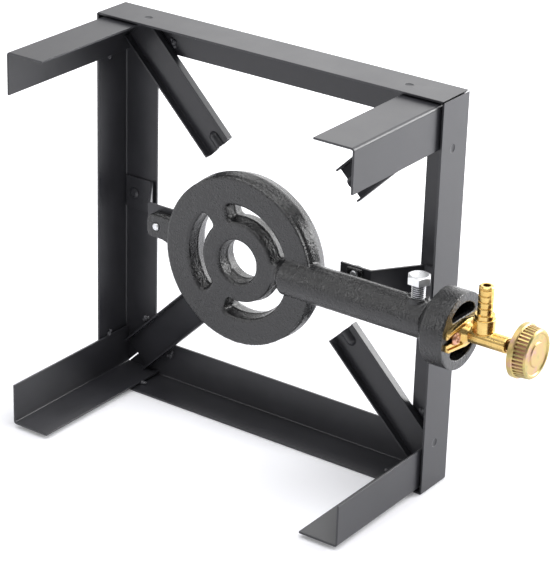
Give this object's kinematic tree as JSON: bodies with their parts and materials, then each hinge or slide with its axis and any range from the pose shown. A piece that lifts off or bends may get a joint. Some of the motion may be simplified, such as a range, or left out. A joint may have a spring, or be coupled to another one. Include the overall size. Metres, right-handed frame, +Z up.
{
  "type": "outdoor gas burner",
  "caption": "Low square angle-iron stand with a cast ring gas burner hung inside it, a mixing tube with a bell mouth, and a brass needle valve with a hose nozzle and a fluted knob.",
  "frame": {"origin": "middle of the footprint, on the ground under the leg ends", "axes": "+Z is up in use, -Y points to the valve and its knob, -X is the side that the hose nozzle points to"},
  "size_m": [0.3, 0.396, 0.1375],
  "materials": {
    "black_paint": "satin powder coat",
    "cast_iron": "blackened sand casting",
    "zinc_steel": "bright zinc plate",
    "brass": "bright turned and cast brass",
    "copper_steel": "copper-coloured plate",
    "yellow_zinc": "yellow passivated zinc plate",
    "black_rubber": "moulded"
  },
  "bodies": {
    "burner": {"front_bar": "black_paint", "right_bar": "black_paint", "rear_bar": "black_paint", "left_bar": "black_paint", "front_left_leg": "black_paint", "front_right_leg": "black_paint", "rear_right_leg": "black_paint", "rear_left_leg": "black_paint", "rear_right_pot_rest": "black_paint", "rear_left_pot_rest": "black_paint", "front_left_pot_rest": "black_paint", "front_right_pot_rest": "black_paint", "front_strap": "black_paint", "rear_strap": "black_paint", "strap_rivets": "black_paint", "burner_casting": "cast_iron", "mixing_bell": "cast_iron", "strap_screws": "zinc_steel", "locking_bolt": "zinc_steel", "valve_body": "brass", "hose_nozzle": "brass", "gas_jet": "brass", "valve_screws": "copper_steel"},
    "seal": {"spindle_seal": "black_rubber"},
    "knob": {"valve_spindle": "brass", "control_knob": "yellow_zinc"}
  },
  "joints": [
    {"name": "spindle_travel", "type": "slide", "parent": "burner", "child": "seal", "axis": [0, -1, 0], "range_m": [0, 0.0015]},
    {"name": "knob_turn", "type": "hinge", "parent": "seal", "child": "knob", "pos_m": [0, -0.19, 0.0817], "axis": [0, -1, 0], "range_deg": [0, 540]}
  ],
  "couplings": [
    {"joint": "spindle_travel", "follows": "knob_turn", "m_per_rad": 0.000159}
  ]
}
